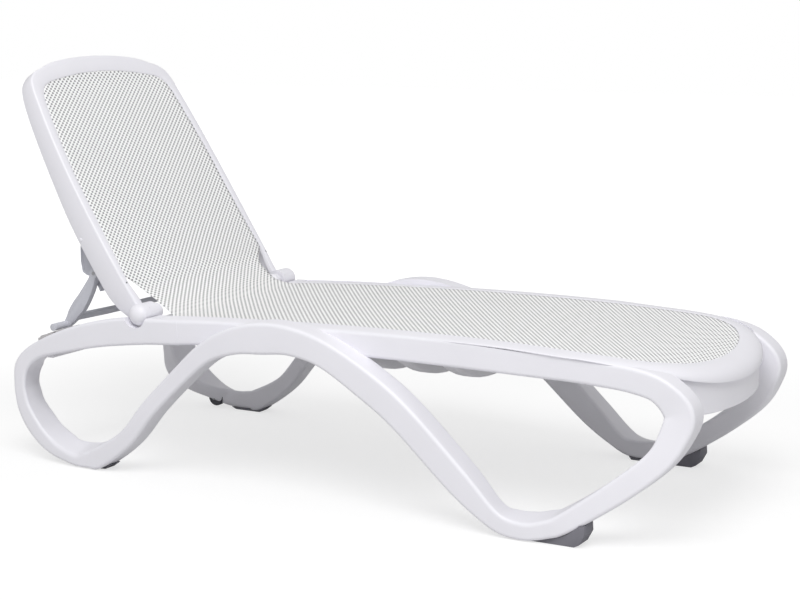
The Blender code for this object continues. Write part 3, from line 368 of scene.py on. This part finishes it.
# Height of the sling's edge along the seat, in mm
SEAT_LINE = [
    (40, 338), (61, 340.7), (180, 347.5), (311, 352.7), (508, 358),
    (690, 359), (859, 357), (979, 352.3), (1063, 348), (1113, 343),
    (1163, 334), (1198, 322.5), (1205, 319.5),
]
SLING_HALF, SLING_CORNER, SLING_TIP, SEAT_START = 252 * MM, 943 * MM, 1205 * MM, 56 * MM
RIM_HALF, RIM_CORNER, RIM_TIP = 294 * MM, 893 * MM, 1255 * MM
RIM_THICK, RIM_LIP, RIM_PROUD, RIM_ROLL = 6 * MM, 2 * MM, 1.5 * MM, 36.5 * MM
ROLL_FADE = 1.3
RIM_ROOM, RIM_ROOM_HEIGHT = 0.3 * MM, 24 * MM
SEAT_CURVE = [(HINGE.x + a * MM, b * MM) for a, b in smooth_line(SEAT_LINE, 6)]


def seat_top(x):
    """Height of the sling's edge on the seat at x."""
    for (x0, z0), (x1, z1) in zip(SEAT_CURVE, SEAT_CURVE[1:]):
        if x <= x1:
            return z0 + (z1 - z0) * (x - x0) / (x1 - x0)
    return SEAT_CURVE[-1][1]


def seat_end(turn, half, corner, tip):
    """A place on the seat's rounded foot end: a superellipse of second and fifth power."""
    return HINGE.x + corner + (tip - corner) * max(math.cos(turn), 0) ** 0.4, half * math.sin(turn)


def rim_stations(end_step, straight):
    """Inner and outer edge of the rim, and how far it is rolled over, round the whole seat."""
    right = []
    for i in range(straight):
        x = HINGE.x + SEAT_START + (RIM_CORNER - SEAT_START) * i / straight
        right.append((Vector((x, -SLING_HALF, 0)), Vector((x, -RIM_HALF, 0)), 0.0))
    turns = [89 - end_step * i for i in range(int(89 / end_step))] + [0]
    for degrees in turns:
        turn = math.radians(degrees)
        xi, yi = seat_end(turn, SLING_HALF, SLING_CORNER, SLING_TIP)
        xo, yo = seat_end(turn, RIM_HALF, RIM_CORNER, RIM_TIP)
        right.append((Vector((xi, -yi, 0)), Vector((xo, -yo, 0)), math.cos(turn) ** ROLL_FADE))
    flip = Vector((1, -1, 1))
    return right + [(a * flip, b * flip, c) for a, b, c in right[-2::-1]]


def rim_space():
    """The room that the rim needs in the rails, as the part's source cuts it."""
    grow = RIM_ROOM
    rings = []
    for inner, outer, share in rim_stations(end_step=6, straight=9):
        out = (outer - inner).normalized()
        width = (outer - inner).length
        roll = max(RIM_THICK - RIM_LIP + (RIM_ROLL - RIM_THICK + RIM_LIP) * share, RIM_THICK)
        lip = RIM_LIP + (RIM_THICK - RIM_LIP) * share
        top = seat_top(inner.x) + RIM_PROUD
        reach = (SLING_HALF - RIM_HALF) / 2
        points = [(reach, RIM_ROOM_HEIGHT), (width + grow, RIM_ROOM_HEIGHT),
                  (width + grow, -roll - grow), (width - lip, -roll - grow)]
        for step in range(1, 6):
            turn = math.pi / 2 * (1 - step / 6)
            points.append(((width - lip) * math.sin(turn),
                           -RIM_THICK - grow - (roll - RIM_THICK) * (1 - math.cos(turn))))
        points.append((reach, -RIM_THICK - grow))
        rings.append([Vector((inner.x, inner.y, top)) + out * a + Vector((0, 0, b)) for a, b in points])
    return sweep(rings)


# The saddle is the round hollow that the hub turns in, and the pocket holds the wheel
SADDLE_RADIUS, SADDLE_INNER, SADDLE_OUTER = 27 * MM, 0.21, 0.34
POCKET_RADIUS, POCKET_ROOM = 23 * MM, 1.5 * MM

moulded = moulding(LOOP, SIDES["right"])
rail = moulding(RAIL, SIDES["right"], -RAIL_SEAM)
saddle = bar(SADDLE_RADIUS, (HINGE.x, -SADDLE_INNER, HINGE.z), (HINGE.x, -SADDLE_OUTER, HINGE.z))
wheel_low, wheel_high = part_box("wheel_right")
wheel_centre = (wheel_low + wheel_high) / 2
pocket = bar(POCKET_RADIUS, (wheel_centre.x, wheel_low.y - POCKET_ROOM, wheel_centre.z),
             (wheel_centre.x, wheel_high.y + POCKET_ROOM, wheel_centre.z), 48)
right_frame = shaped(moulded, [saddle, pocket, rim_space()], [rail])
left_frame = mirrored(right_frame)
for word, frame_bm in (("right", right_frame), ("left", left_frame)):
    finish_piece(f"side_frame_moulding_{word}", frame_bm, white_resin, "base",
                 [f"side_frame_{word}"])


# Seat rim: a satin white resin ring that clips over both rails and holds the cloth's edge.
# It lies flat along the sides and rolls over into a broad nose round the foot end.
RIM_CHAMFER, LIP_SPACING = 0.8 * MM, 0.01 * MM


def rim_profile(inner, outer, share):
    """The rim's section: a quarter round on top, and the same a wall's thickness below."""
    out = (outer - inner).normalized()
    width = (outer - inner).length
    roll = RIM_THICK - RIM_LIP + (RIM_ROLL - RIM_THICK + RIM_LIP) * share
    lip = RIM_LIP + (RIM_THICK - RIM_LIP) * share
    deep = max(roll, RIM_THICK)
    top = seat_top(inner.x) + RIM_PROUD
    steps = 14
    flat = 3 * MM
    # The inner lip is eased where it meets the cloth. The places of the quarter round that would
    # fall on this flat lip stand side by side at its end, so that all rings have as many points.
    points = [(0.9 * MM, -0.25 * MM), (2.2 * MM, 0)]
    for step in range(1, steps + 1):
        turn = math.pi / 2 * step / steps
        a, b = width * math.sin(turn), -roll * (1 - math.cos(turn))
        if a > flat:
            points.append((a, b))
        else:
            points.append((flat + step * LIP_SPACING, 0))
    points += [(width, -deep + RIM_CHAMFER), (width - RIM_CHAMFER, -deep), (width - lip, -deep)]
    for step in range(1, steps + 1):
        turn = math.pi / 2 * (1 - step / steps)
        under = -RIM_THICK - (deep - RIM_THICK) * (1 - math.cos(turn))
        points.append(((width - lip) * math.sin(turn), under))
    points.append((0, -1.2 * MM))
    return [Vector((inner.x, inner.y, top)) + out * a + Vector((0, 0, b)) for a, b in points]


rim = sweep([rim_profile(*station) for station in rim_stations(end_step=2.5, straight=40)])
finish_piece("seat_rim_ring", rim, white_resin, "base", ["seat_rim"])


# Foot apron: the plain panel that closes the frame below the nose, between the foot loops.
# It is moulded with the rim and set back behind its edge, which leaves a fine shadow line.
APRON_INSET, APRON_THICK, APRON_BOTTOM, APRON_RISE = 7 * MM, 5 * MM, 233 * MM, 14 * MM
APRON_GAP, APRON_EDGE = 1.2 * MM, 1.8 * MM
APRON_ROLL = 0.45
APRON_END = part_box("foot_apron")[1].y


def apron_profile(inner, outer, share):
    """The apron's section: an upright wall with an eased foot, cut short below the nose."""
    out = (outer - inner).normalized()
    width = (outer - inner).length
    roll = RIM_THICK - RIM_LIP + (RIM_ROLL - RIM_THICK + RIM_LIP) * share
    place = (width - APRON_INSET) / (width - RIM_THICK)
    under = RIM_THICK + (roll - RIM_THICK) * (1 - math.sqrt(1 - place ** 2))
    top = seat_top(inner.x) + RIM_PROUD - under - APRON_GAP
    bottom = APRON_BOTTOM + APRON_RISE * (1 - share)
    points = [(0, top), (0, (top + bottom) / 2), (0, bottom + APRON_EDGE), (-APRON_EDGE, bottom),
              (APRON_EDGE - APRON_THICK, bottom), (-APRON_THICK, bottom + APRON_EDGE),
              (-APRON_THICK, top)]
    face = inner + out * (width - APRON_INSET)
    return [Vector((face.x, face.y, 0)) + out * a + Vector((0, 0, b)) for a, b in points]


rolled = [station for station in rim_stations(end_step=2.5, straight=0)
          if station[2] > APRON_ROLL]
apron = sweep([apron_profile(*station) for station in rolled])
for side in SIDES.values():
    everything = apron.verts[:] + apron.edges[:] + apron.faces[:]
    kept = bmesh.ops.bisect_plane(apron, geom=everything, plane_co=(0, side * APRON_END, 0),
                                  plane_no=(0, side, 0), clear_outer=True)
    end_edges = [item for item in kept["geom_cut"] if isinstance(item, bmesh.types.BMEdge)]
    bmesh.ops.holes_fill(apron, edges=end_edges)
finish_piece("foot_apron_panel", apron, white_resin, "base", ["foot_apron"])


# Back frame: one moulding of the same resin, a face plate round the cloth with a deep skirt
# behind it. Its two feet end in the round hubs of the hinge.
# Places in mm from the hub: outer edge along and sideways, inner edge along and sideways, depth.
BACK_OUTLINE = [
    (-6, 275, -6, 254.5, 34), (12, 275, 12, 254.5, 37), (40, 275, 40, 254.5, 50),
    (80, 277.5, 80, 261.9, 57), (140, 279, 140, 260, 57), (250, 279, 250, 256.9, 56),
    (350, 276.4, 350, 254.4, 50), (450, 269.3, 440, 246.2, 45), (520, 261, 510, 236.9, 42),
    (560, 254.4, 545, 227.7, 38), (585, 244.6, 562, 215.9, 33), (602, 222.6, 571.5, 199, 26),
    (611, 194.9, 577.5, 176.4, 20), (621, 164.1, 583, 143.6, 16), (628.5, 123.1, 588, 107.7, 13),
    (634, 61.5, 593, 56.4, 13), (636, 0, 595, 0, 13),
]
BACK_ANGLE = math.radians(58.4)
ALONG_BACK = Vector((-math.cos(BACK_ANGLE), 0, math.sin(BACK_ANGLE)))
FACE_NORMAL = Vector((math.sin(BACK_ANGLE), 0, math.cos(BACK_ANGLE)))
BACK_LENGTH, FACE_SETBACK, BACK_BOW = 636 * MM, 3.6 * MM, 6.5 * MM
FACE_THICK, SKIRT_WALL, BACK_EDGE, FACE_CROWN = 9 * MM, 5 * MM, 4.5 * MM, 0.6 * MM
HUB_RADIUS, HUB_INNER, HUB_OUTER = 23 * MM, 0.2475, 0.275


def on_face(distance, depth, y):
    """A place on the back: along it, behind its bowed face, and sideways."""
    share = min(max(distance / BACK_LENGTH, 0), 1)
    behind = FACE_SETBACK + BACK_BOW * 4 * share * (1 - share) + depth
    return HINGE + ALONG_BACK * distance - FACE_NORMAL * behind + Vector((0, y, 0))


def back_half():
    """The stations of one half of the back, in metres, from the hub to the top."""
    return [tuple(value * MM for value in station) for station in smooth_line(BACK_OUTLINE, 6, 4)]


def back_profile(so, yo, si, yi, depth, side):
    """The frame's section: a gently crowned face, a round shoulder and a thin skirt behind."""
    inner, outer = Vector((si, side * yi)), Vector((so, side * yo))
    out = (outer - inner).normalized()
    width = (outer - inner).length
    # From the eased inner lip across the face, round the shoulder and to the skirt's eased foot
    points = [(0, 1.6 * MM), (0.5 * MM, 0.5 * MM), (1.6 * MM, 0), (width / 2, -FACE_CROWN)]
    for step in range(7):
        turn = math.pi / 2 * step / 6
        points.append((width - BACK_EDGE * (1 - math.sin(turn)), BACK_EDGE * (1 - math.cos(turn))))
    points += [(width, depth - 1.5 * MM), (width - 0.5 * MM, depth - 0.4 * MM),
               (width - 1.5 * MM, depth), (width - SKIRT_WALL, depth),
               (width - SKIRT_WALL, FACE_THICK), (0, FACE_THICK)]
    ring = []
    for a, depth_here in points:
        place = inner + out * a
        ring.append(on_face(place.x, depth_here, place.y))
    return ring


right_half = [back_profile(*station, SIDES["right"]) for station in back_half()]
left_half = [back_profile(*station, SIDES["left"]) for station in back_half()]
back = sweep(right_half + left_half[-2::-1])
hubs = [bar(HUB_RADIUS, (HINGE.x, side * HUB_INNER, HINGE.z), (HINGE.x, side * HUB_OUTER, HINGE.z))
        for side in SIDES.values()]
back = shaped(back, [], hubs)
finish_piece("back_frame_moulding", back, white_resin, "back", ["back_frame"])


# Hub caps: round domed ends over both hinges, moulded in the same satin white resin.
# They snap over the ends of the pivot pins and hide them.
CAP_STRAIGHT = 0.42


def turned(profile, centre, direction):
    """A profile of (radius, height) spun about the axis through the centre."""
    bm = bmesh.new()
    verts = [bm.verts.new((radius, 0, height)) for radius, height in profile]
    edges = [bm.edges.new(pair) for pair in zip(verts, verts[1:])]
    bmesh.ops.spin(bm, geom=verts + edges, cent=(0, 0, 0), axis=(0, 0, 1), angle=2 * math.pi,
                   steps=64, use_merge=True)
    bmesh.ops.remove_doubles(bm, verts=bm.verts, dist=1e-6)
    bmesh.ops.recalc_face_normals(bm, faces=bm.faces)
    turn = Vector(direction).to_track_quat("Z", "Y").to_matrix().to_4x4()
    bmesh.ops.transform(bm, matrix=Matrix.Translation(centre) @ turn, verts=bm.verts)
    return bm


def dome(radius, straight, crown):
    """The profile of a cylinder with a domed end, from the middle of the dome to its foot."""
    points = [(0, straight + crown)]
    for step in range(1, 14):
        turn = math.pi / 2 * step / 14
        points.append((radius * math.sin(turn), straight + crown * math.cos(turn)))
    return points + [(radius, straight), (radius, 0), (0, 0)]


for word, side in SIDES.items():
    low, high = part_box(f"hub_cap_{word}")
    foot, reach = sorted((abs(low.y), abs(high.y)))
    straight = CAP_STRAIGHT * (reach - foot)
    profile = dome((high.z - low.z) / 2, straight, reach - foot - straight)
    cap = turned(profile, (HINGE.x, side * foot, HINGE.z), (0, side, 0))
    finish_piece(f"hub_dome_{word}", cap, white_resin, "back", [f"hub_cap_{word}"])


# Hinge lugs, cross-members, racks, props, pads and wheels: plain moulded parts that are screwed,
# pinned or pressed onto the frames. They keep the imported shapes, with the edges eased as a mould
# leaves them, and the prop's brackets have the sunk panel that saves material.
BODY_OF = {node: body for body, nodes in frame["record"]["behaviour"]["bodies"].items()
           for node in nodes}
EASED_ANGLE = math.radians(30)
BRACKET_RIM, BRACKET_SUNK, FACE_SLACK = 3.5 * MM, 6 * MM, 0.5 * MM


def eased(node, width, material, recess=None):
    """A merged copy of a node with bevelled edges, and a sunk panel (rim, depth) if it has one."""
    bm = bmesh.new()
    bm.from_mesh(frame["nodes"][node].data)
    bmesh.ops.remove_doubles(bm, verts=bm.verts, dist=1e-5)
    bmesh.ops.dissolve_limit(bm, angle_limit=math.radians(1), verts=bm.verts, edges=bm.edges)
    bm.normal_update()
    if recess:
        rim, depth = recess
        outward = math.copysign(1, sum(vert.co.y for vert in bm.verts))
        reach = max(outward * vert.co.y for vert in bm.verts) - FACE_SLACK
        facing = [f for f in bm.faces if outward * f.normal.y > 0.99]
        panel = [f for f in facing if outward * f.calc_center_median().y > reach]
        bmesh.ops.inset_region(bm, faces=panel, thickness=rim, depth=-depth, use_even_offset=True)
        bm.normal_update()
    corners = [e for e in bm.edges if e.is_manifold and e.calc_face_angle(0) > EASED_ANGLE]
    bmesh.ops.bevel(bm, geom=corners, offset=width, segments=2, affect="EDGES", profile=0.5,
                    material=-1, clamp_overlap=True)
    return finish_piece(f"{node}_eased", bm, material, BODY_OF[node], [node], sharp=45)


# The prop and its brackets are a cool pale grey against the white frame
grey_resin = resin("pale grey moulded polypropylene", "#C9CAD2", 0.04, 0.45)
# The racks are a warmer, darker grey that is painted shade, for the shadow they lie in under the back,
# and a little duller
rack_painted_shade_resin = resin("light grey moulded polypropylene with painted shade", "#BDBBBC", 0.04, 0.5)
# The pads are dull and uneven in tone, as rubber is
pad_rubber = resin("dark grey moulded rubber", "#7C7B83", 0.08, 0.62)
# The wheels are dark, with the soft gloss of nylon
wheel_resin = resin("dark grey moulded nylon", "#5A5A60", 0.05, 0.5)
# The inner parts are the same plastic as the frames, painted a little darker as shade for where they
# sit under the seat and the back
inner_parts_painted_shade_resin = resin("white moulded polypropylene, inner parts, painted shade", "#E9E8EC", 0.02, 0.45)

for name in ("head", "hinge", "rear", "middle", "front"):
    eased(f"cross_member_{name}", 2 * MM, inner_parts_painted_shade_resin)
eased("back_crossbar", 2 * MM, inner_parts_painted_shade_resin)
eased("prop_crossbar", 1.2 * MM, grey_resin)
for word in SIDES:
    eased(f"hinge_lug_{word}", 1.5 * MM, white_resin)
    eased(f"prop_arm_{word}", 1.5 * MM, grey_resin)
    eased(f"prop_bracket_{word}", 0.8 * MM, grey_resin, (BRACKET_RIM, BRACKET_SUNK))
    eased(f"prop_rack_{word}", 0.6 * MM, rack_painted_shade_resin)
    eased(f"front_pad_{word}", 1.5 * MM, pad_rubber)
    eased(f"rear_pad_{word}", 1.5 * MM, pad_rubber)
    eased(f"wheel_{word}", 1.0 * MM, wheel_resin)


# Sling: one length of coated polyester mesh, woven white over grey, stretched from the nose
# of the rim to the top of the back. Its edges are welded into the rim and the back frame, and
# it hangs free and a little drawn in at the hinge.
# Each row of the free part has, in mm from the hinge axis: along, up, and how far it is drawn in
HINGE_CLOTH = [(-37, 46, 23), (-11, 25.5, 32), (17, 7, 34)]
HINGE_CLOTH_INSET, HINGE_CLOTH_LEAD = 11 * MM, 8 * MM
BACK_SLING_HALF, BACK_HALF = 254.5 * MM, 279 * MM
SLING_RECESS, BACK_SLING_START, BACK_SLING_SAG, SLING_SAG = 2 * MM, 88 * MM, 8 * MM, 5 * MM
SLING_THICK = 1.4 * MM
CLOTH_GAP = 0.4 * MM
SAG_EASE, BACK_SLING_LEAD = 120 * MM, 4 * MM
SEAT_ROWS, CLOTH_COLUMNS, HINGE_STEPS = 100, 48, 8
CLOTH_MAP = "flat_cloth"


def cloth_rows():
    """Rows of (middle of the row, its normal, half width, sag), from the nose to the top."""
    rows = []
    upward = Vector((0, 0, 1))
    for degrees in [1.5, 3, 5] + list(range(7, 90, 3)):
        turn = math.radians(degrees)
        x, y = seat_end(turn, SLING_HALF - CLOTH_GAP, SLING_CORNER, SLING_TIP - CLOTH_GAP)
        rows.append((Vector((x, 0, seat_top(x))), upward, y, SLING_SAG * (y / SLING_HALF) ** 2))
    corner, start = HINGE.x + SLING_CORNER, HINGE.x + SEAT_START
    for i in range(SEAT_ROWS + 1):
        x = corner + (start - corner) * i / SEAT_ROWS
        ease = min(1, (x - start) / SAG_EASE)
        rows.append((Vector((x, 0, seat_top(x))), upward, SLING_HALF - CLOTH_GAP, SLING_SAG * ease))
    foot = on_face(BACK_SLING_START, SLING_RECESS, 0)
    lead = start + HINGE_CLOTH_LEAD
    points = [(lead, seat_top(lead), SLING_HALF - CLOTH_GAP),
              (start, seat_top(start), SLING_HALF - HINGE_CLOTH_INSET)]
    points += [(HINGE.x + a * MM, HINGE.z + b * MM, SLING_HALF - drawn_in * MM)
               for a, b, drawn_in in reversed(HINGE_CLOTH)]
    points.append((foot.x, foot.z, BACK_SLING_HALF))
    # The lead gives the curve its direction, and its rows are on the seat already
    line = smooth_line(points, HINGE_STEPS)[HINGE_STEPS + 1:]
    for i, (x, z, half) in enumerate(line):
        before, after = line[max(i - 1, 0)], line[min(i + 1, len(line) - 1)]
        run = Vector((after[0] - before[0], 0, after[1] - before[1])).normalized()
        rows.append((Vector((x, 0, z)), Vector((run.z, 0, -run.x)), half, 0.0))
    for _, _, si, yi, _ in back_half():
        if si > BACK_SLING_START + BACK_SLING_LEAD:
            rise = min(1, (si - BACK_SLING_START) / BACK_SLING_START)
            half = max(yi - CLOTH_GAP, 0.5 * MM)
            sag = BACK_SLING_SAG * (half / BACK_HALF) ** 2 * rise
            rows.append((on_face(si, SLING_RECESS, 0), FACE_NORMAL, half, sag))
    return rows


def woven_sheet(rows, columns):
    """A grid shaped over the rows, with a UV map in metres of the flat cloth."""
    bm = bmesh.new()
    bmesh.ops.create_grid(bm, x_segments=len(rows) - 1, y_segments=columns, size=1)
    flat = bm.loops.layers.uv.new(CLOTH_MAP)
    run = [0.0]
    for before, after in zip(rows, rows[1:]):
        run.append(run[-1] + (after[0] - before[0]).length)
    places = {}
    for vert in bm.verts:
        row = round((vert.co.x + 1) / 2 * (len(rows) - 1))
        share = vert.co.y
        middle, normal, half, sag = rows[row]
        places[vert] = (run[row], share * half)
        vert.co = middle + Vector((0, share * half, 0)) - normal * sag * (1 - share * share)
    for face in bm.faces:
        for loop in face.loops:
            loop[flat].uv = places[loop.vert]
    strips = zip(rows, rows[1:], run, run[1:])
    area = sum((a[2] + b[2]) * (end - start) for a, b, start, end in strips)
    return bm, run[-1], area


HOLES_ALONG, HOLES_ACROSS = 10.7 * MM, 14.4 * MM


def woven_cloth(name):
    """Coated mesh: white yarn over a grey ground that shows as a diagonal lattice of dots."""
    material = bpy.data.materials.new(name)
    material.use_nodes = True
    tree = material.node_tree
    shader = tree.nodes["Principled BSDF"]
    # The real holes are about 3 mm apart. They are drawn coarser so that they show, in staggered
    # rows as in the weave
    flat = add(tree, "UVMap", uv_map=CLOTH_MAP)
    split = add(tree, "SeparateXYZ", {"Vector": flat.outputs["UV"]})
    waves = []
    for axis, pitch in (("X", HOLES_ALONG), ("Y", HOLES_ACROSS)):
        angle = add(tree, "Math", {0: split.outputs[axis]}, operation="MULTIPLY")
        angle.inputs[1].default_value = 2 * math.pi / pitch
        waves.append(add(tree, "Math", {0: angle.outputs[0]}, operation="COSINE"))
    both = add(tree, "Math", {0: waves[0].outputs[0], 1: waves[1].outputs[0]}, operation="MULTIPLY")
    hole = add(tree, "MapRange", {"Value": both.outputs[0]}, interpolation_type="SMOOTHSTEP",
               **{"From Min": -0.02, "From Max": 0.75, "To Min": 0.0, "To Max": 1.0})
    colour = add(tree, "Mix", {"Factor": hole.outputs[0]}, data_type="RGBA")
    colour.inputs[6].default_value = srgb("#FFFFFF")
    colour.inputs[7].default_value = srgb("#68686C")
    tree.links.new(colour.outputs[2], shader.inputs["Base Color"])
    shader.inputs["Roughness"].default_value = 0.6
    bump = add(tree, "Bump", {"Height": hole.outputs[0]}, Strength=0.35, Distance=0.0006, invert=True)
    tree.links.new(bump.outputs[0], shader.inputs["Normal"])
    return material


woven_mesh = woven_cloth("woven coated polyester mesh")
rows = cloth_rows()
cloth, cloth_length, cloth_area = woven_sheet(rows, CLOTH_COLUMNS)
sling = finish_piece("woven_sling", cloth, woven_mesh, None,
                     ["seat_sling", "hinge_sling", "back_sling"], sharp=80)
thickness = sling.modifiers.new("cloth", "SOLIDIFY")
thickness.thickness = SLING_THICK
thickness.offset = 1.0
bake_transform(sling)


# Small fixings: the pins, axles and lug screws are zinc-plated steel, turned or pressed, and hold
# the hinges, the prop and the wheels. The screws of the skirt and the pegs of the back's face are
# plastic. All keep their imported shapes.
def steel(name, code, roughness):
    """Zinc-plated steel: a dull metal with faint turning marks about 0.7 mm apart."""
    material = bpy.data.materials.new(name)
    material.use_nodes = True
    tree = material.node_tree
    shader = tree.nodes["Principled BSDF"]
    shader.inputs["Base Color"].default_value = srgb(code)
    shader.inputs["Metallic"].default_value = 1.0
    place = add(tree, "TexCoord")
    marks = add(tree, "TexNoise", {"Vector": place.outputs["Object"]}, Scale=1500.0, Detail=2.0)
    rough = add(tree, "MapRange", {"Value": marks.outputs["Fac"]},
                **{"To Min": roughness - 0.08, "To Max": roughness + 0.08})
    tree.links.new(rough.outputs[0], shader.inputs["Roughness"])
    return material


plated_steel = steel("zinc-plated steel", "#B9B9BC", 0.4)
# The pegs are dark and satin, as moulded acetal is
dark_peg = resin("dark grey acetal", "#4A4A4E", 0.03, 0.5)
FIXINGS = {"pivot_pin": plated_steel, "prop_pin": plated_steel, "wheel_axle": plated_steel,
           "lug_screw": plated_steel, "sling_peg": dark_peg, "skirt_screw": white_resin}
for node_name, node_object in frame["nodes"].items():
    for start, material in FIXINGS.items():
        if node_name.startswith(start):
            node_object.data.materials.clear()
            node_object.data.materials.append(material)
